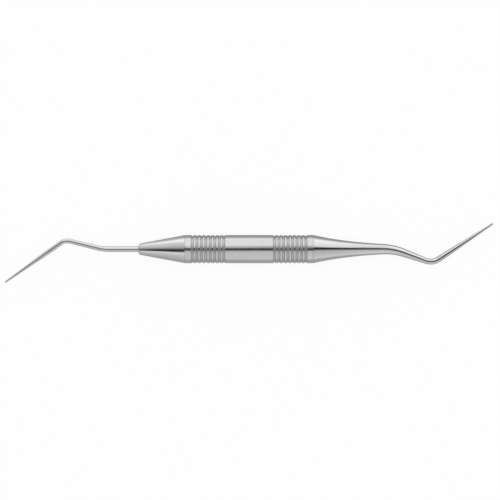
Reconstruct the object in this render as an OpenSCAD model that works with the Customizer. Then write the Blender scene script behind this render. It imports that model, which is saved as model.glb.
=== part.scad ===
// Double-ended dental root elevator: a hollow steel handle with a fine pointed working end on each
// side. The left end is a bent wire brazed into a nose cone, the right end is forged in one piece
// with its cone. Both cones screw into sockets in the handle.
//
// Millimetres. The handle lies along X with its middle at the origin, and both ends bend in the
// XY plane, so the instrument lies on a table as it is drawn.

/* [Handle] */
// Outside diameter of the handle
handle_d = 9.5; // [8:0.5:11]
// Length of the handle tube between the two cones
tube_l = 43; // [40:1:80]
// Wall of the handle tube
tube_wall = 1; // [0.8:0.1:1.5]
// Chamfer on the edges where a cone meets the tube
seam_chamfer = 0.15; // [0.1:0.05:0.3]

/* [Grip rings] */
// Number of ring grooves in each of the two grips
ring_count = 8; // [3:1:9]
// Distance from one ring groove to the next
ring_pitch = 1.5; // [1.2:0.1:1.6]
// Radius of the round cutter that turns a groove
ring_cutter_r = 0.5; // [0.4:0.05:0.55]
// Depth of a groove below the handle's surface
ring_depth = 0.3; // [0.15:0.05:0.4]
// Distance from the tube's end to the middle of the first groove
ring_inset = 2.5; // [1.5:0.25:3]

/* [Sockets and studs] */
// Length of the bush brazed into each end of the tube
bush_l = 9; // [8:0.5:12]
// Diameter of the threaded stud on each cone
stud_d = 4; // [3:0.5:4.5]
// Length of the threaded stud
stud_l = 7; // [5:0.5:7.5]
// Chamfer on the stud's end
stud_chamfer = 0.4; // [0.2:0.1:0.6]
// Radial clearance between a stud and its tapped bush
thread_gap = 0.03; // [0.01:0.01:0.1]
// Radial gap filled by the braze round a bush or a wire tang
braze_gap = 0.02; // [0.01:0.01:0.05]

/* [Left nose cone] */
// Length of the cone from the handle to its nose
nose_l = 15.75; // [12:0.25:24]
// Diameter of the cone at its nose, before the edge is rounded
nose_d = 3.7; // [3.6:0.1:5]
// Radius that rounds the edge of the nose
nose_r = 0.95; // [0.3:0.05:1.2]
// Depth of the wire's tang inside the cone
tang_l = 10; // [5:1:11]

/* [Left working end] */
// Diameter of the straight wire and its tang
wire_d = 1.9; // [1.4:0.1:2]
// Diameter of the wire where its first bend ends
wire_mid_d = 1.75; // [1.4:0.05:1.9]
// Diameter of the wire at its second bend and up to where its taper starts
wire_neck_d = 1.6; // [1.2:0.05:1.8]
// Diameter of the left point's tip
left_tip_d = 0.6; // [0.3:0.1:1]
// Straight wire between the nose and the first bend
left_straight_l = 9.75; // [6:0.25:20]
// Straight wire between the two bends
left_offset_l = 9.1; // [6:0.1:20]
// Parallel part of the point, from the second bend to where its taper starts
left_parallel_l = 4.5; // [1:0.1:10]
// Tapered part of the point
left_taper_l = 18.4; // [10:0.2:26]
// Angle of the first bend
left_first_angle = 13.5; // [5:0.1:30]
// Angle of the second bend
left_second_angle = 48.8; // [20:0.1:60]
// Centre-line radius of the first bend
left_first_r = 19; // [6:1:26]
// Centre-line radius of the second bend
left_second_r = 4; // [2:0.2:6]

/* [Right working end] */
// Length of the flared cone from the handle to the shank
flare_l = 23; // [18:0.5:35]
// Slope of the flare's side where it leaves the handle, as a half angle
flare_angle = 12.7; // [10:0.1:15]
// Diameter of the shank where the flare ends
shank_d = 3.6; // [3:0.1:4]
// Diameter of the shank at the second bend
neck_d = 2; // [1.5:0.1:2.5]
// Diameter of the right point where its taper starts
point_d = 1.8; // [1.2:0.1:1.9]
// Diameter of the right point's tip
right_tip_d = 0.6; // [0.3:0.1:1]
// Straight shank between the flare and the first bend
right_straight_l = 0.3; // [0.2:0.1:6]
// Straight shank between the two bends
right_offset_l = 7.8; // [5:0.1:20]
// Nearly parallel part of the point, from the second bend to where its main taper starts
right_parallel_l = 4.1; // [1:0.1:10]
// Tapered part of the point
right_taper_l = 17.8; // [10:0.2:26]
// Angle of the first bend
right_first_angle = 19.8; // [5:0.1:30]
// Angle of the second bend
right_second_angle = 53.2; // [20:0.1:60]
// Centre-line radius of the first bend
right_first_r = 21.5; // [10:0.5:30]
// Centre-line radius of the second bend
right_second_r = 5; // [3:0.2:8]

/* [Hidden] */

$fn = 72;
STEEL = [0.80, 0.81, 0.82];
BRIGHT_STEEL = [0.87, 0.88, 0.89];
DULL_STEEL = [0.62, 0.63, 0.65];

handle_r = handle_d / 2;
tube_bore_r = handle_r - tube_wall;
left_side = -1;
right_side = 1;

// Polygon sides of a bent end, the turn between two of its rings, and of its rounded tip
sweep_sides = 32;
ring_angle = 4;
tip_step = 18;
// Steps of the flare's curve and of the nose's rounding
flare_steps = 24;
nose_steps = 10;
// How far a cutter runs past the face that it opens
cut_past = 1;
// The bent shank starts this far inside the flare, and this much thinner all round
root_l = 0.5;
root_step = 0.01;

// ---------------------------------------------------------------- handle

// One ring groove for every pitch, both grips mirrored about the handle's middle
module groove_cutters() {
    for (side = [left_side, right_side], i = [0 : ring_count - 1])
        translate([handle_r - ring_depth + ring_cutter_r,
                   side * (tube_l / 2 - ring_inset - i * ring_pitch)])
            circle(r = ring_cutter_r);
}

// Half section of the tube, with its axis along Y
module tube_section() {
    difference() {
        polygon([[tube_bore_r, -tube_l / 2],
                 [handle_r - seam_chamfer, -tube_l / 2],
                 [handle_r, -tube_l / 2 + seam_chamfer],
                 [handle_r, tube_l / 2 - seam_chamfer],
                 [handle_r - seam_chamfer, tube_l / 2],
                 [tube_bore_r, tube_l / 2]]);
        groove_cutters();
    }
}

module handle_tube() {
    color(STEEL)
        rotate([0, 90, 0])
            rotate_extrude()
                tube_section();
}

// Tapped bush, flush with the tube's end, that takes a cone's stud
module socket_bush(side) {
    color(DULL_STEEL)
        translate([side * (tube_l / 2 - bush_l / 2), 0, 0])
            rotate([0, 90, 0])
                difference() {
                    cylinder(r = tube_bore_r - braze_gap, h = bush_l, center = true);
                    cylinder(r = stud_d / 2 + thread_gap, h = bush_l + 2 * cut_past, center = true);
                }
}

// Half section of a stud that stands out of a cone's base, along -Y from the origin
function stud_section(side_r) = [
    [0, -stud_l],
    [stud_d / 2 - stud_chamfer, -stud_l],
    [stud_d / 2, -stud_l + stud_chamfer],
    [stud_d / 2, 0],
    [side_r - seam_chamfer, 0],
    [side_r, seam_chamfer]];

// ---------------------------------------------------------------- left nose cone

nose_half_angle = atan((handle_r - nose_d / 2) / (nose_l - seam_chamfer));

// Centre of the circle that rounds the nose: as far from the end face as from the sloping side
nose_centre_y = nose_l - nose_r;
nose_centre_x = nose_d / 2 + nose_r * tan(nose_half_angle) - nose_r / cos(nose_half_angle);

nose_rounding = [
    for (i = [0 : nose_steps])
        let (a = nose_half_angle + (90 - nose_half_angle) * i / nose_steps)
            [nose_centre_x + nose_r * cos(a), nose_centre_y + nose_r * sin(a)]];

module left_nose_cone() {
    color(BRIGHT_STEEL)
        translate([-tube_l / 2, 0, 0])
            rotate([0, -90, 0])
                difference() {
                    rotate_extrude()
                        polygon(concat(stud_section(handle_r), nose_rounding, [[0, nose_l]]));
                    translate([0, 0, nose_l - tang_l - braze_gap])
                        cylinder(r = wire_d / 2 + braze_gap, h = tang_l + cut_past);
                }
}

// ---------------------------------------------------------------- bent working ends

// A bent end is a row of pieces, each [length, turn, diameter at its far end]. A piece with a turn
// is an arc of that length, and the diameter changes evenly along each piece.
function arc_l(r, turn) = r * abs(turn) * PI / 180;

// Place and heading [x, y, heading] after a length of one piece
function onward(from, length, turn) =
    turn == 0
    ? [from.x + length * cos(from.z), from.y + length * sin(from.z), from.z]
    : let (r = length * 180 / (PI * turn))
        [from.x + r * (sin(from.z + turn) - sin(from.z)),
         from.y - r * (cos(from.z + turn) - cos(from.z)),
         from.z + turn];

// Stations [x, y, heading, radius] along the pieces: one at a straight piece's end, several on an arc
function stations(pieces, from, d, i = 0) =
    i == len(pieces)
    ? []
    : let (p = pieces[i], steps = max(1, ceil(abs(p[1]) / ring_angle)))
        concat(
            [for (k = [1 : steps])
                concat(onward(from, p[0] * k / steps, p[1] * k / steps),
                       (d + (p[2] - d) * k / steps) / 2)],
            stations(pieces, onward(from, p[0], p[1]), p[2], i + 1));

// The rounded tip: rings that close on the end of the last piece
function tip_stations(end) =
    [for (a = [tip_step : tip_step : 90 - tip_step])
        concat(onward([end.x, end.y, end.z], end[3] * sin(a), 0), end[3] * cos(a))];

// The ring of points at a station, square to the heading
function ring(s) = [
    for (k = [0 : sweep_sides - 1])
        let (a = 360 * k / sweep_sides, out = s[3] * cos(a))
            [s.x - out * sin(s.z), s.y + out * cos(s.z), s[3] * sin(a)]];

module bent_end(pieces, start_d) {
    start = [0, 0, 0];
    run = stations(pieces, start, start_d);
    end = run[len(run) - 1];
    rings = concat([concat(start, start_d / 2)], run, tip_stations(end));
    apex = onward([end.x, end.y, end.z], end[3], 0);
    n = sweep_sides;
    last = len(rings) - 1;
    polyhedron(
        points = concat([for (s = rings) each ring(s)], [[apex.x, apex.y, 0]]),
        faces = concat(
            [[for (k = [0 : n - 1]) k]],
            [for (j = [0 : last - 1], k = [0 : n - 1])
                let (a = j * n + k, b = j * n + (k + 1) % n)
                    each [[a, b + n, b], [a, a + n, b + n]]],
            [for (k = [0 : n - 1]) [last * n + (k + 1) % n, last * n + k, len(rings) * n]]));
}

left_pieces = [
    [tang_l + left_straight_l, 0, wire_d],
    [arc_l(left_first_r, left_first_angle), -left_first_angle, wire_mid_d],
    [left_offset_l, 0, wire_neck_d],
    [arc_l(left_second_r, left_second_angle), left_second_angle, wire_neck_d],
    [left_parallel_l, 0, wire_neck_d],
    [left_taper_l - left_tip_d / 2, 0, left_tip_d]];

// One wire from its tang inside the nose cone to the tip of its point
module left_working_end() {
    color(BRIGHT_STEEL)
        translate([-tube_l / 2 - nose_l + tang_l, 0, 0])
            rotate(180)
                bent_end(left_pieces, wire_d);
}

// ---------------------------------------------------------------- right working end

// The shank tapers evenly over its whole length, from the flare to the second bend
right_bend_end = right_straight_l + arc_l(right_first_r, right_first_angle);
shank_l = right_bend_end + right_offset_l;
function shank_d_at(s) = shank_d + (neck_d - shank_d) * s / shank_l;

right_pieces = [
    [root_l + right_straight_l, 0, shank_d_at(right_straight_l)],
    [arc_l(right_first_r, right_first_angle), -right_first_angle, shank_d_at(right_bend_end)],
    [right_offset_l, 0, neck_d],
    [arc_l(right_second_r, right_second_angle), right_second_angle, neck_d],
    [right_parallel_l, 0, point_d],
    [right_taper_l - right_tip_d / 2, 0, right_tip_d]];

// The flare is one smooth curve that leaves the handle at the flare's angle and runs into the
// shank at the shank's own taper. Its middle control point is where those two slopes cross.
flare_slope = tan(flare_angle);
shank_slope = (shank_d - neck_d) / 2 / shank_l;
flare_base = [handle_r, seam_chamfer];
flare_end = [shank_d / 2, flare_l];
flare_knee_y = (flare_base.x - flare_end.x + flare_slope * flare_base.y - shank_slope * flare_end.y)
             / (flare_slope - shank_slope);
flare_knee = [flare_base.x - flare_slope * (flare_knee_y - flare_base.y), flare_knee_y];

function flare_at(t) =
    (1 - t) * (1 - t) * flare_base + 2 * t * (1 - t) * flare_knee + t * t * flare_end;

module right_working_end() {
    color(BRIGHT_STEEL)
        translate([tube_l / 2, 0, 0]) {
            rotate([0, 90, 0])
                rotate_extrude()
                    polygon(concat(stud_section(handle_r),
                                   [for (i = [1 : flare_steps]) flare_at(i / flare_steps)],
                                   [[0, flare_l]]));
            translate([flare_l - root_l, 0, 0])
                bent_end(right_pieces, shank_d - 2 * root_step);
        }
}

handle_tube();
socket_bush(left_side);  // left_socket_bush
socket_bush(right_side);  // right_socket_bush
left_nose_cone();
left_working_end();
right_working_end();
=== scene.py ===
import math

import bmesh
import bpy
from mathutils import Matrix, Vector


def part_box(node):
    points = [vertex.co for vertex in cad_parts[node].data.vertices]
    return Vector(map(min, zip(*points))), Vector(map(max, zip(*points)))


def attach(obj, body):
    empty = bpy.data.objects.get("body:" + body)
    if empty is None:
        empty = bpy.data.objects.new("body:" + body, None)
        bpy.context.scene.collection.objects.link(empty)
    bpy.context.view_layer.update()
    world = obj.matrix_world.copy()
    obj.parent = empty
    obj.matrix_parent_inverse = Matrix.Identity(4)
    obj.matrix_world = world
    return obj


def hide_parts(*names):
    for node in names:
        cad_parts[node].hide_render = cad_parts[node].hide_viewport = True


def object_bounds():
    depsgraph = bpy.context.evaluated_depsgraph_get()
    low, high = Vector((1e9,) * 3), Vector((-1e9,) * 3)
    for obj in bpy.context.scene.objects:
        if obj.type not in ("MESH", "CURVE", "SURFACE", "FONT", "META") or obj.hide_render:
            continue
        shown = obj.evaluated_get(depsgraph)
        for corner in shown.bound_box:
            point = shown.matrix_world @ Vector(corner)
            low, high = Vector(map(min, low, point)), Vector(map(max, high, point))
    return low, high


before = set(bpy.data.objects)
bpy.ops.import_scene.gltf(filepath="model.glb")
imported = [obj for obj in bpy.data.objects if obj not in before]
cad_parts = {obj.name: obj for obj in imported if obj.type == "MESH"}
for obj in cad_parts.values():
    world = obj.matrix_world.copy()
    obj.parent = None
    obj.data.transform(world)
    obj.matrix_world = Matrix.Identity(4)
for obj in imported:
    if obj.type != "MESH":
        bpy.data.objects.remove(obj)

cad_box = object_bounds()
MM = 0.001

# ---------------------------------------------------------------- handle tube
# The handle is a thin-walled stainless tube, turned all over. Two grips of round-bottomed grooves
# leave a smooth band in the middle. Its ends are chamfered where the cones seat on them.

tube_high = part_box("handle_tube")[1]
TUBE_HALF = tube_high.x
HANDLE_R = tube_high.z
TUBE_WALL = 1.0 * MM
TUBE_BORE_R = HANDLE_R - TUBE_WALL
SEAM_CHAMFER = 0.15 * MM
RING_COUNT = 8
RING_PITCH = 1.5 * MM
RING_INSET = 2.5 * MM
RING_CUTTER_R = 0.5 * MM
RING_DEPTH = 0.3 * MM
GROOVE_LIP = 0.05 * MM
GROOVE_SKIN = 0.03 * MM
GROOVE_STEPS = 10
TURN_STEPS = 160
CREASE = math.radians(28)
MERGE_DIST = 1e-3 * MM


def arc(centre_x, centre_r, radius, start, end, steps):
    """Points [x, r] of a profile along an arc, angles in radians from +X."""
    turns = [start + (end - start) * i / steps for i in range(steps + 1)]
    return [(centre_x + radius * math.cos(t), centre_r + radius * math.sin(t)) for t in turns]


def turned(name, profile, closed):
    """A turned piece: the half profile, as points [x, r], spun round the X axis."""
    bm = bmesh.new()
    verts = [bm.verts.new((x, 0, r)) for x, r in profile]
    ends = zip(verts, verts[1:] + verts[:1]) if closed else zip(verts, verts[1:])
    edges = [bm.edges.new(pair) for pair in ends]
    bmesh.ops.spin(bm, geom=verts + edges, axis=(1, 0, 0), cent=(0, 0, 0),
                   angle=2 * math.pi, steps=TURN_STEPS, use_merge=True)
    return finished(name, bm)


def finished(name, bm):
    """A smooth-shaded object from a bmesh, with sharp edges kept where faces meet at a crease."""
    bmesh.ops.remove_doubles(bm, verts=bm.verts, dist=MERGE_DIST)
    bmesh.ops.recalc_face_normals(bm, faces=bm.faces)
    for face in bm.faces:
        face.smooth = True
    for edge in bm.edges:
        edge.smooth = edge.calc_face_angle(0) < CREASE
    mesh = bpy.data.meshes.new(name)
    bm.to_mesh(mesh)
    bm.free()
    obj = bpy.data.objects.new(name, mesh)
    bpy.context.scene.collection.objects.link(obj)
    return obj


def groove_profile(x):
    """One groove across the handle's surface at x, with a small lip on each edge."""
    centre_r = HANDLE_R - RING_DEPTH + RING_CUTTER_R
    half = math.acos((centre_r - HANDLE_R) / RING_CUTTER_R)
    floor = arc(x, centre_r, RING_CUTTER_R, -math.pi / 2 - half, -math.pi / 2 + half, GROOVE_STEPS)
    left_x, right_x = floor[0][0], floor[-1][0]
    return [(left_x - GROOVE_LIP, HANDLE_R), *floor[1:-1], (right_x + GROOVE_LIP, HANDLE_R)]


# The steel's darkest patches, as a share of its tint, and the size and detail of the noises that
# mottle it and draw its finishing marks. Most of a noise lies in NOISE_RANGE.
DARKEST = 0.93
CLOUD_SCALE, CLOUD_DETAIL = 260.0, 4.0
MARKS_DETAIL = 3.0
NOISE_RANGE = (0.3, 0.7)


def steel(name, tint, shine, lines, relief, follows=None):
    """Stainless steel. shine is the least and most roughness, lines the scale of the marks of the
    last finishing cut along X, Y and Z, and relief the height of those marks. follows is a bent
    piece's attribute that holds its places as they were before the bend."""
    mat = bpy.data.materials.new(name)
    mat.use_nodes = True
    nodes, links = mat.node_tree.nodes, mat.node_tree.links
    surface = nodes["Principled BSDF"]
    surface.inputs["Metallic"].default_value = 1.0
    if follows:
        straight = nodes.new("ShaderNodeAttribute")
        straight.attribute_name = follows
        place = straight.outputs["Vector"]
    else:
        place = nodes.new("ShaderNodeTexCoord").outputs["Object"]

    def noise(scale, detail, stretch=(1, 1, 1)):
        mapping = nodes.new("ShaderNodeMapping")
        mapping.inputs["Scale"].default_value = stretch
        links.new(place, mapping.inputs["Vector"])
        texture = nodes.new("ShaderNodeTexNoise")
        texture.inputs["Scale"].default_value = scale
        texture.inputs["Detail"].default_value = detail
        links.new(mapping.outputs["Vector"], texture.inputs["Vector"])
        return texture.outputs["Fac"]

    def half_of(value):
        """A noise's usual range, spread from 0 to a half."""
        half = nodes.new("ShaderNodeMapRange")
        half.inputs["From Min"].default_value, half.inputs["From Max"].default_value = NOISE_RANGE
        half.inputs["To Max"].default_value = 0.5
        links.new(value, half.inputs["Value"])
        return half.outputs["Result"]

    marks = noise(1.0, MARKS_DETAIL, lines)
    mottle = nodes.new("ShaderNodeMath")
    mottle.operation = "ADD"
    links.new(half_of(noise(CLOUD_SCALE, CLOUD_DETAIL)), mottle.inputs[0])
    links.new(half_of(marks), mottle.inputs[1])
    colour = nodes.new("ShaderNodeMix")     # its inputs 6 and 7 are the two colours
    colour.data_type = "RGBA"
    colour.inputs[6].default_value = (*[c * DARKEST for c in tint], 1)
    colour.inputs[7].default_value = (*tint, 1)
    links.new(mottle.outputs[0], colour.inputs[0])
    links.new(colour.outputs[2], surface.inputs["Base Color"])
    dull = nodes.new("ShaderNodeMapRange")
    dull.inputs["To Min"].default_value, dull.inputs["To Max"].default_value = shine
    links.new(mottle.outputs[0], dull.inputs["Value"])
    links.new(dull.outputs["Result"], surface.inputs["Roughness"])
    bump = nodes.new("ShaderNodeBump")
    bump.inputs["Distance"].default_value = relief
    links.new(marks, bump.inputs["Height"])
    links.new(bump.outputs["Normal"], surface.inputs["Normal"])
    return mat


def tube_profile():
    first = TUBE_HALF - RING_INSET
    rings = sorted(side * (first - i * RING_PITCH) for side in (-1, 1) for i in range(RING_COUNT))
    left_end = [(-TUBE_HALF, TUBE_BORE_R), (-TUBE_HALF, HANDLE_R - SEAM_CHAMFER),
                (-TUBE_HALF + SEAM_CHAMFER, HANDLE_R)]
    right_end = [(-x, r) for x, r in reversed(left_end)]
    return left_end + [point for x in rings for point in groove_profile(x)] + right_end


handle = turned("handle_turned_tube", tube_profile(), closed=True)
handle.data.materials.append(steel("satin_handle_steel", tint=(0.82, 0.82, 0.82),
                                   shine=(0.13, 0.24), lines=(9000, 200, 200), relief=0.35e-6))
# The polishing wheel rides over the grooves, so their floors keep the duller, rougher finish of
# the cutter. Their darker tint is painted shade in the grooves.
handle.data.materials.append(steel("cutter_groove_steel_and_painted_shade", tint=(0.66, 0.66, 0.66),
                                   shine=(0.28, 0.40), lines=(12000, 300, 300), relief=0.3e-6))
# The groove floors take the rougher steel with the painted shade: nothing else lies as deep and as
# far in from the tube's ends.
for face in handle.data.polygons:
    depth = HANDLE_R - math.hypot(face.center.y, face.center.z)
    if GROOVE_SKIN < depth < 2 * RING_DEPTH and abs(face.center.x) < TUBE_HALF - RING_INSET / 2:
        face.material_index = 1
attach(handle, "root")
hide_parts("handle_tube")

# ---------------------------------------------------------------- socket bushes
# A short tapped bush is brazed into each end of the tube and takes the stud of a cone. Both are
# turned and left as they come off the lathe, because nobody sees them once the cones are on.

bush_steel = steel("lathe_turned_bush_steel", tint=(0.62, 0.62, 0.64), shine=(0.28, 0.42),
                   lines=(5000, 500, 500), relief=1.2e-6)
for side in ("left", "right"):
    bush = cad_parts[side + "_socket_bush"]
    bush.data.materials.clear()
    bush.data.materials.append(bush_steel)

# ---------------------------------------------------------------- left nose cone
# A blunt cone, turned and buffed, closes the left end of the handle. Its stud screws into the
# bush, and the wire's tang is brazed into the bore in its rounded nose.

nose_low, nose_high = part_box("left_nose_cone")
NOSE_X = nose_low.x
NOSE_D = 3.7 * MM
NOSE_ROUND = 0.95 * MM
NOSE_STEPS = 16
STUD_R = 2.0 * MM
STUD_CHAMFER = 0.4 * MM
STUD_END_X = nose_high.x
WIRE_R = 0.95 * MM
BRAZE_GAP = 0.02 * MM
BORE_R = WIRE_R + BRAZE_GAP
TANG_L = 10.0 * MM


def nose_profile():
    length = -TUBE_HALF - NOSE_X
    lean = math.atan((HANDLE_R - NOSE_D / 2) / (length - SEAM_CHAMFER))
    centre_r = NOSE_D / 2 + NOSE_ROUND * math.tan(lean) - NOSE_ROUND / math.cos(lean)
    stud = [(STUD_END_X, 0), (STUD_END_X, STUD_R - STUD_CHAMFER),
            (STUD_END_X - STUD_CHAMFER, STUD_R), (-TUBE_HALF, STUD_R)]
    seat = [(-TUBE_HALF, HANDLE_R - SEAM_CHAMFER), (-TUBE_HALF - SEAM_CHAMFER, HANDLE_R)]
    rounding = arc(NOSE_X + NOSE_ROUND, centre_r, NOSE_ROUND,
                   math.pi / 2 + lean, math.pi, NOSE_STEPS)
    bore = [(NOSE_X, BORE_R), (NOSE_X + TANG_L, BORE_R), (NOSE_X + TANG_L, 0)]
    return stud + seat + rounding + bore


nose = turned("left_nose_cone_turned", nose_profile(), closed=False)
nose.data.materials.append(steel("buffed_cone_steel", tint=(0.84, 0.84, 0.84),
                                 shine=(0.08, 0.17), lines=(6500, 200, 200), relief=0.25e-6))
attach(nose, "root")
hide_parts("left_nose_cone")

# ---------------------------------------------------------------- braze fillet
# A thin ring of silver braze fills the corner where the wire leaves the nose cone. It flows there
# when the joint is made and is wiped to a small hollow fillet.

FILLET_RISE = 0.09 * MM
FILLET_RUN = 0.16 * MM
FILLET_ROOT = 0.1 * MM
FILLET_STEPS = 6


def fillet_profile():
    curve = [math.pi / 2 * i / FILLET_STEPS for i in range(FILLET_STEPS + 1)]
    hollow = [(NOSE_X - FILLET_RUN * (1 - math.sin(t)), WIRE_R + FILLET_RISE * (1 - math.cos(t)))
              for t in curve]
    root_x = NOSE_X + FILLET_ROOT
    return hollow + [(root_x, WIRE_R + FILLET_RISE), (root_x, WIRE_R)]


fillet = turned("braze_fillet", fillet_profile(), closed=True)
fillet.data.materials.append(steel("silver_braze", tint=(0.80, 0.78, 0.72),
                                   shine=(0.22, 0.34), lines=(3000, 3000, 3000), relief=0.3e-6))
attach(fillet, "root")

# ---------------------------------------------------------------- left working end
# One hard-drawn wire, bent twice in one plane and ground to a long taper with a rounded tip. Its
# tang is brazed into the nose cone, so it shows from the nose outwards.

LEFT_STRAIGHT_L = 9.75 * MM
LEFT_FIRST_R, LEFT_FIRST_TURN = 19 * MM, math.radians(13.5)
LEFT_OFFSET_L = 9.1 * MM
LEFT_SECOND_R, LEFT_SECOND_TURN = 4 * MM, math.radians(48.8)
LEFT_PARALLEL_L = 4.5 * MM
LEFT_TAPER_L = 18.4 * MM
WIRE_MID_R = 0.875 * MM
WIRE_NECK_R = 0.8 * MM
TIP_R = 0.3 * MM
BEND_STEP = math.radians(3)
ROD_SIDES = 64
OFFSET_STEPS = 4
TAPER_STEPS = 8
TIP_STEPS = 6


class BentRod:
    """A round rod drawn out ring by ring in the XY plane from a place and heading."""

    def __init__(self, place, heading, radius):
        self.bm = bmesh.new()
        self.straight = self.bm.verts.layers.float_vector.new("straight")
        self.place, self.heading, self.radius = Vector(place), heading, radius
        self.run = 0.0
        square = Matrix.Rotation(heading, 4, "Z") @ Matrix.Rotation(math.pi / 2, 4, "Y")
        bmesh.ops.create_circle(self.bm, cap_ends=True, segments=ROD_SIDES, radius=radius,
                                matrix=Matrix.Translation(self.place) @ square)
        self.edges = list(self.bm.edges)
        self.line = []
        self.note_straight(self.bm.verts)

    def note_straight(self, ring):
        """Keeps where a ring's points would lie on a straight rod, for the grinding marks."""
        aside = Vector((-math.sin(self.heading), math.cos(self.heading), 0))
        for vert in ring:
            out = vert.co - self.place
            vert[self.straight] = (self.run, out.dot(aside), out.z)

    def draw_out(self, length, turn, radius):
        """Extrudes the last ring once, straight or along an arc of that length and turn."""
        drawn = bmesh.ops.extrude_edge_only(self.bm, edges=self.edges)["geom"]
        ring = [v for v in drawn if isinstance(v, bmesh.types.BMVert)]
        self.edges = [e for e in drawn if isinstance(e, bmesh.types.BMEdge)
                      and all(v in ring for v in e.verts)]
        ahead = Vector((math.cos(self.heading), math.sin(self.heading), 0))
        if turn:
            aside = Vector((-ahead.y, ahead.x, 0)) * (length / turn)
            bmesh.ops.rotate(self.bm, verts=ring, cent=self.place + aside,
                             matrix=Matrix.Rotation(turn, 3, "Z"))
            self.place = self.place + aside - Matrix.Rotation(turn, 3, "Z") @ aside
            self.heading += turn
        else:
            bmesh.ops.translate(self.bm, verts=ring, vec=ahead * length)
            self.place = self.place + ahead * length
        grow = radius / self.radius
        bmesh.ops.scale(self.bm, verts=ring, vec=(grow, grow, grow),
                        space=Matrix.Translation(-self.place))
        self.radius = radius
        self.run += length
        self.note_straight(ring)
        self.line.append((self.place.copy(), self.heading))

    def stretch(self, length, turn, radius, steps=None):
        """A run along which the radius changes evenly, in enough steps for its turn."""
        steps = steps or max(1, math.ceil(abs(turn) / BEND_STEP))
        start = self.radius
        for i in range(1, steps + 1):
            self.draw_out(length / steps, turn / steps, start + (radius - start) * i / steps)

    def bend(self, bend_r, turn, radius):
        self.stretch(bend_r * abs(turn), turn, radius)

    def round_tip(self):
        """Closes the end with a half ball of the last radius."""
        tip_r, done = self.radius, 0.0
        for i in range(1, TIP_STEPS):
            a = math.pi / 2 * i / TIP_STEPS
            self.draw_out(tip_r * math.sin(a) - done, 0, tip_r * math.cos(a))
            done = tip_r * math.sin(a)
        bmesh.ops.contextual_create(self.bm, geom=self.edges)


rod = BentRod((NOSE_X + TANG_L, 0, 0), math.pi, WIRE_R)
rod.stretch(TANG_L, 0, WIRE_R)
rod.stretch(LEFT_STRAIGHT_L, 0, WIRE_R)
rod.bend(LEFT_FIRST_R, -LEFT_FIRST_TURN, WIRE_MID_R)
rod.stretch(LEFT_OFFSET_L, 0, WIRE_NECK_R, OFFSET_STEPS)
rod.bend(LEFT_SECOND_R, LEFT_SECOND_TURN, WIRE_NECK_R)
rod.stretch(LEFT_PARALLEL_L, 0, WIRE_NECK_R)
rod.stretch(LEFT_TAPER_L - TIP_R, 0, TIP_R, TAPER_STEPS)
rod.round_tip()
left_line = rod.line
left_end = finished("left_bent_wire", rod.bm)
left_end.data.materials.append(steel("ground_wire_steel", tint=(0.84, 0.84, 0.84),
                                     shine=(0.09, 0.18), lines=(220, 8000, 8000),
                                     relief=0.30e-6, follows="straight"))
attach(left_end, "root")
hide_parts("left_working_end")

# ---------------------------------------------------------------- right working end
# Forged and ground in one piece: the stud, a cone that flares smoothly down to the shank, the
# two bends and the tapered point. It screws into the right-hand bush.

FLARE_L = 23 * MM
FLARE_ANGLE = math.radians(12.7)
FLARE_STEPS = 40
RIGHT_STRAIGHT_L = 0.3 * MM
RIGHT_FIRST_R, RIGHT_FIRST_TURN = 21.5 * MM, math.radians(19.8)
RIGHT_OFFSET_L = 7.8 * MM
RIGHT_SECOND_R, RIGHT_SECOND_TURN = 5 * MM, math.radians(53.2)
RIGHT_PARALLEL_L = 4.1 * MM
RIGHT_TAPER_L = 17.8 * MM
SHANK_R = 1.8 * MM
NECK_R = 1.0 * MM
POINT_R = 0.9 * MM
shank_l = RIGHT_STRAIGHT_L + RIGHT_FIRST_R * RIGHT_FIRST_TURN + RIGHT_OFFSET_L
shank_slope = (SHANK_R - NECK_R) / shank_l


def flare_profile():
    """The flare's curve: points [distance from the handle, radius] of a quadratic curve."""
    slope = math.tan(FLARE_ANGLE)
    knee_x = ((HANDLE_R - SHANK_R + slope * SEAM_CHAMFER - shank_slope * FLARE_L)
              / (slope - shank_slope))
    base = Vector((SEAM_CHAMFER, HANDLE_R))
    knee = Vector((knee_x, HANDLE_R - slope * (knee_x - SEAM_CHAMFER)))
    end = Vector((FLARE_L, SHANK_R))
    steps = [i / FLARE_STEPS for i in range(FLARE_STEPS + 1)]
    return [(1 - t) ** 2 * base + 2 * t * (1 - t) * knee + t * t * end for t in steps]


rod = BentRod((-STUD_END_X, 0, 0), 0, STUD_R - STUD_CHAMFER)
rod.stretch(STUD_CHAMFER, 0, STUD_R)
rod.stretch(TUBE_HALF + STUD_END_X - STUD_CHAMFER, 0, STUD_R)
rod.stretch(0, 0, HANDLE_R - SEAM_CHAMFER)
reached = 0.0
for point in flare_profile():
    rod.draw_out(point.x - reached, 0, point.y)
    reached = point.x
rod.stretch(RIGHT_STRAIGHT_L, 0, SHANK_R - shank_slope * RIGHT_STRAIGHT_L)
rod.bend(RIGHT_FIRST_R, -RIGHT_FIRST_TURN, NECK_R + shank_slope * RIGHT_OFFSET_L)
rod.stretch(RIGHT_OFFSET_L, 0, NECK_R, OFFSET_STEPS)
rod.bend(RIGHT_SECOND_R, RIGHT_SECOND_TURN, NECK_R)
rod.stretch(RIGHT_PARALLEL_L, 0, POINT_R, OFFSET_STEPS)
rod.stretch(RIGHT_TAPER_L - TIP_R, 0, TIP_R, TAPER_STEPS)
rod.round_tip()
right_line = rod.line
right_end = finished("right_forged_end", rod.bm)
right_end.data.materials.append(steel("buffed_forging_steel", tint=(0.84, 0.84, 0.84),
                                      shine=(0.08, 0.17), lines=(120, 5500, 5500),
                                      relief=0.35e-6, follows="straight"))
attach(right_end, "root")
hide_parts("right_working_end")

# ---------------------------------------------------------------- table
# A sheet of plain white paper lies on the table under the instrument. It reads as white where it
# is looked at or mirrored in the steel, and takes a faint shadow.

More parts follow.
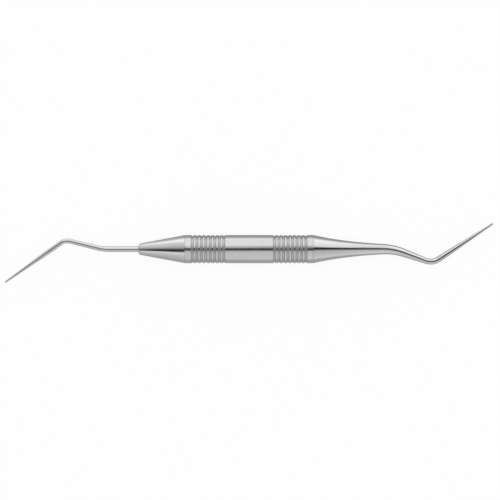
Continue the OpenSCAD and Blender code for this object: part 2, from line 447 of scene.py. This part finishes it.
TABLE_HALF = 3.0
PAPER_WHITE = (0.96, 0.96, 0.96, 1)
PAPER_DULL = 0.9
PAPER_GLOW = 0.90
table_z = cad_box[0].z

bpy.context.scene.view_settings.view_transform = "Standard"


def stage_sheet(name, bm, material):
    """A sheet of the stage from a bmesh of flat faces."""
    mesh = bpy.data.meshes.new(name)
    bm.to_mesh(mesh)
    bm.free()
    mesh.materials.append(material)
    sheet = bpy.data.objects.new(name, mesh)
    bpy.context.scene.collection.objects.link(sheet)
    return sheet


def white_paper():
    mat = bpy.data.materials.new("white_paper")
    mat.use_nodes = True
    nodes, links = mat.node_tree.nodes, mat.node_tree.links
    surface = nodes["Principled BSDF"]
    surface.inputs["Base Color"].default_value = PAPER_WHITE
    surface.inputs["Roughness"].default_value = PAPER_DULL
    surface.inputs["Specular IOR Level"].default_value = 0.0
    ray = nodes.new("ShaderNodeLightPath")
    seen = ray.outputs["Is Camera Ray"]
    for way in ("Is Glossy Ray", "Is Transmission Ray"):
        either = nodes.new("ShaderNodeMath")
        either.operation = "MAXIMUM"
        links.new(seen, either.inputs[0])
        links.new(ray.outputs[way], either.inputs[1])
        seen = either.outputs[0]
    share = nodes.new("ShaderNodeMath")
    share.operation = "MULTIPLY"
    share.inputs[1].default_value = PAPER_GLOW
    links.new(seen, share.inputs[0])
    mix = nodes.new("ShaderNodeMixShader")
    links.new(share.outputs[0], mix.inputs["Fac"])
    links.new(surface.outputs[0], mix.inputs[1])
    links.new(nodes.new("ShaderNodeEmission").outputs[0], mix.inputs[2])
    links.new(mix.outputs[0], nodes["Material Output"].inputs["Surface"])
    return mat


bm = bmesh.new()
bmesh.ops.create_grid(bm, x_segments=1, y_segments=1, size=TABLE_HALF,
                      matrix=Matrix.Translation((0, 0, table_z)))
stage_sheet("table", bm, white_paper())

# ---------------------------------------------------------------- cards
# Grey cards lie on the table along both sides of the instrument and give the steel its darker
# edges. A black card over each working end draws the dark line along it. Only the steel sees them.

CARD_LIFT = 0.2 * MM
CARD_REACH = 400 * MM
# A side card's grey changes outwards between these distances and along it between these places.
SHADE_NEAR = 12 * MM
SHADE_FAR = 50 * MM
SHADE_LEFT_X = -50 * MM
SHADE_RIGHT_X = -20 * MM
# Brightness of a card beside the instrument and further out, at its left end and at its right.
FRONT_SHADES = ((0.40, 0.49), (0.40, 0.49))
BACK_SHADES = ((0.62, 0.88), (0.33, 0.86))


def only_in_steel(card):
    for kind in ("camera", "diffuse", "shadow", "transmission", "volume_scatter"):
        setattr(card, "visible_" + kind, False)


def card_paint(name, left, right, start_x=SHADE_LEFT_X, end_x=SHADE_RIGHT_X, fade=None):
    """A grey that changes outwards, and along the instrument between two places on it. fade gives
    the places where the card is clear and where it is full."""
    mat = bpy.data.materials.new(name)
    mat.use_nodes = True
    nodes, links = mat.node_tree.nodes, mat.node_tree.links
    nodes.remove(nodes["Principled BSDF"])
    split = nodes.new("ShaderNodeSeparateXYZ")
    links.new(nodes.new("ShaderNodeTexCoord").outputs["Object"], split.inputs[0])
    away = nodes.new("ShaderNodeMath")
    away.operation = "ABSOLUTE"
    links.new(split.outputs["Y"], away.inputs[0])
    outwards = nodes.new("ShaderNodeMapRange")
    outwards.inputs["From Min"].default_value = SHADE_NEAR
    outwards.inputs["From Max"].default_value = SHADE_FAR
    links.new(away.outputs[0], outwards.inputs["Value"])
    for socket, start, end in zip(("To Min", "To Max"), left, right):
        along = nodes.new("ShaderNodeMapRange")
        along.inputs["From Min"].default_value = start_x
        along.inputs["From Max"].default_value = end_x
        along.inputs["To Min"].default_value = start
        along.inputs["To Max"].default_value = end
        links.new(split.outputs["X"], along.inputs["Value"])
        links.new(along.outputs["Result"], outwards.inputs[socket])
    glow = nodes.new("ShaderNodeEmission")
    links.new(outwards.outputs["Result"], glow.inputs["Strength"])
    shown = glow.outputs[0]
    if fade:
        solid = nodes.new("ShaderNodeMapRange")
        solid.inputs["From Min"].default_value, solid.inputs["From Max"].default_value = fade
        links.new(split.outputs["X"], solid.inputs["Value"])
        mix = nodes.new("ShaderNodeMixShader")
        links.new(solid.outputs["Result"], mix.inputs["Fac"])
        links.new(nodes.new("ShaderNodeBsdfTransparent").outputs[0], mix.inputs[1])
        links.new(shown, mix.inputs[2])
        shown = mix.outputs[0]
    links.new(shown, nodes["Material Output"].inputs["Surface"])
    return mat


def side_card(name, side, shades):
    bm = bmesh.new()
    place = Matrix.Translation((0, side * CARD_REACH / 2, table_z + CARD_LIFT))
    bmesh.ops.create_grid(bm, x_segments=1, y_segments=1, size=1,
                          matrix=place @ Matrix.Diagonal((CARD_REACH, CARD_REACH / 2, 1, 1)))
    only_in_steel(stage_sheet(name, bm, card_paint(name, *shades)))


side_card("back_card", 1, BACK_SHADES)
side_card("front_card", -1, FRONT_SHADES)

BLACK_LIFT = 8 * MM
BLACK_OVERHANG = 4 * MM
# How much of the flare the right card covers.
BLACK_ON_FLARE = 4 * MM
# Brightness where a card starts and over the point, and the share of its length between the two.
BLACK_SHADES = ((0.12, 0.12), (0.03, 0.03))
BLACK_BLEND = 0.25
# The two angles from overhead, in degrees, between which a rod sees its card: at the card's
# start, a third and two thirds along it, and at the rod's tip.
LEFT_BLACK_ANGLES = ((-28, 2), (-30, 9), (-19, 21), (-16, 26))
RIGHT_BLACK_ANGLES = ((-10, 25), (-16, 28), (-39, 17), (-58, 6))


def black_card(name, line, angles):
    """A strip that hangs over a rod's line and follows its bends, blackest over the point. It
    starts clear, a little before the line, and is full where the line starts."""
    (first, heading_in), (last, heading_out) = line[0], line[-1]
    lead_in = first - BLACK_OVERHANG * Vector((math.cos(heading_in), math.sin(heading_in), 0))
    lead_out = last + BLACK_OVERHANG * Vector((math.cos(heading_out), math.sin(heading_out), 0))
    length_x = lead_out.x - first.x
    bm = bmesh.new()
    rows = []
    for place, heading in [(lead_in, heading_in), *line, (lead_out, heading_out)]:
        across = Vector((-math.sin(heading), math.cos(heading), 0))
        across = across if across.y > 0 else -across
        at = max(0, (place.x - first.x) / length_x) * (len(angles) - 1)
        i = min(int(at), len(angles) - 2)
        ends = []
        for start, end in zip(angles[i], angles[i + 1]):
            aside = math.tan(math.radians(start + (end - start) * (at - i)))
            ends.append(bm.verts.new(place + BLACK_LIFT * (across * aside + Vector((0, 0, 1)))))
        rows.append(bm.edges.new(ends))
    for near, far in zip(rows, rows[1:]):
        bmesh.ops.contextual_create(bm, geom=[near, far])
    blend_x = [first.x + length_x * (1 + side * BLACK_BLEND) / 2 for side in (-1, 1)]
    paint = card_paint(name, *BLACK_SHADES, *blend_x, fade=(lead_in.x, first.x))
    only_in_steel(stage_sheet(name, bm, paint))


black_card("left_black_card", left_line, LEFT_BLACK_ANGLES)
flare_part_x = TUBE_HALF + FLARE_L - BLACK_ON_FLARE
black_card("right_black_card", [m for m in right_line if m[0].x > flare_part_x],
           RIGHT_BLACK_ANGLES)

# ---------------------------------------------------------------- light
# A pale tent stands over the table, with a dark slot above the instrument that draws the line
# along the steel. One large lamp overhead brings the paper up to white.

BLACK = 0.02
# The tent in slices, by how far a slice leans towards the instrument's left (-) or right end.
# Each has the brightness of its near side at the table and at the slot, the angles from overhead
# at which that side ends, the slot is black and the far side starts, and the far side's
# brightness at the slot and at the table.
TENT = (
    (-0.40, 0.46, 0.80, (-32, -26, -8, 20), 0.53, 0.85),
    (-0.26, 0.52, 0.70, (-20, -16, 4, 10), 0.52, 1.38),
    (-0.12, 0.58, 0.62, (-18, -14, 6, 11), 1.02, 0.92),
    (0.12, 0.78, 0.60, (-16, -5, 21, 28), 0.80, 0.92),
    (0.36, 0.70, 0.50, (-15, -2, 13, 23), 0.82, 1.12),
)
# Both ends of the tent have one brightness, which starts and is full at these leans.
TENT_END = 0.42
END_START, END_FULL = 0.55, 0.85


def tent():
    world = bpy.data.worlds.new("tent")
    bpy.context.scene.world = world
    world.use_nodes = True
    nodes, links = world.node_tree.nodes, world.node_tree.links
    split = nodes.new("ShaderNodeSeparateXYZ")
    links.new(nodes.new("ShaderNodeTexCoord").outputs["Generated"], split.inputs[0])

    def span(value, start, end):
        node = nodes.new("ShaderNodeMapRange")
        node.inputs["From Min"].default_value = start
        node.inputs["From Max"].default_value = end
        links.new(value, node.inputs["Value"])
        return node.outputs["Result"]

    def maths(operation, *values):
        node = nodes.new("ShaderNodeMath")
        node.operation = operation
        for socket, value in zip(node.inputs, values):
            links.new(value, socket)
        return node.outputs[0]

    def mixed(fac, first, second):
        node = nodes.new("ShaderNodeMix")
        node.data_type = "RGBA"
        links.new(fac, node.inputs[0])
        for socket, value in ((node.inputs[6], first), (node.inputs[7], second)):
            if isinstance(value, float):
                socket.default_value = (value, value, value, 1)
            else:
                links.new(value, socket)
        return node.outputs[2]

    across = maths("ARCTAN2", split.outputs["Y"], split.outputs["Z"])
    unit = span(across, -math.pi / 2, math.pi / 2)

    def slice_of(near_table, near_slot, angles, far_slot, far_table):
        ramp = nodes.new("ShaderNodeValToRGB")
        stops = ramp.color_ramp.elements
        stops.remove(stops[-1])
        levels = (near_table, near_slot, BLACK, BLACK, far_slot, far_table)
        for i, (degrees, level) in enumerate(zip((-90, *angles, 90), levels)):
            stop = stops[0] if i == 0 else stops.new((degrees + 90) / 180)
            stop.color = (level, level, level, 1)
        links.new(unit, ramp.inputs["Fac"])
        return ramp.outputs["Color"]

    lean, colour = TENT[0][0], slice_of(*TENT[0][1:])
    for next_lean, *levels in TENT[1:]:
        colour = mixed(span(split.outputs["X"], lean, next_lean), colour, slice_of(*levels))
        lean = next_lean
    end = span(maths("ABSOLUTE", split.outputs["X"]), END_START, END_FULL)
    colour = mixed(end, colour, TENT_END)
    colour = mixed(nodes.new("ShaderNodeLightPath").outputs["Is Camera Ray"], colour, 1.0)
    links.new(colour, nodes["Background"].inputs["Color"])


tent()

LAMP_SIZE = 1.6
LAMP_HEIGHT = 1.4
LAMP_WATTS = 12.0
lamp = bpy.data.lights.new("overhead_lamp", "AREA")
lamp.shape = "SQUARE"
lamp.size = LAMP_SIZE
lamp.energy = LAMP_WATTS
overhead = bpy.data.objects.new("overhead_lamp", lamp)
overhead.location = (0, 0, LAMP_HEIGHT)
overhead.visible_glossy = False
bpy.context.scene.collection.objects.link(overhead)

# ---------------------------------------------------------------- camera
# It looks straight down from over the handle and takes in the whole instrument.

VIEW_WIDTH = 168.4 * MM
VIEW_Y = -0.3 * MM
CAMERA_DISTANCE = 0.60
CLIP_START = 0.01
PICTURE_WIDTH = 500
LEFT_TIP_PIXEL = 4.9
camera_data = bpy.data.cameras.new("camera")
camera_data.lens = camera_data.sensor_width * CAMERA_DISTANCE / VIEW_WIDTH
camera_data.clip_start = CLIP_START
camera = bpy.data.objects.new("camera", camera_data)
view_x = cad_box[0].x + VIEW_WIDTH * (0.5 - LEFT_TIP_PIXEL / PICTURE_WIDTH)
camera.location = (view_x, VIEW_Y, CAMERA_DISTANCE)
bpy.context.scene.collection.objects.link(camera)
bpy.context.scene.camera = camera
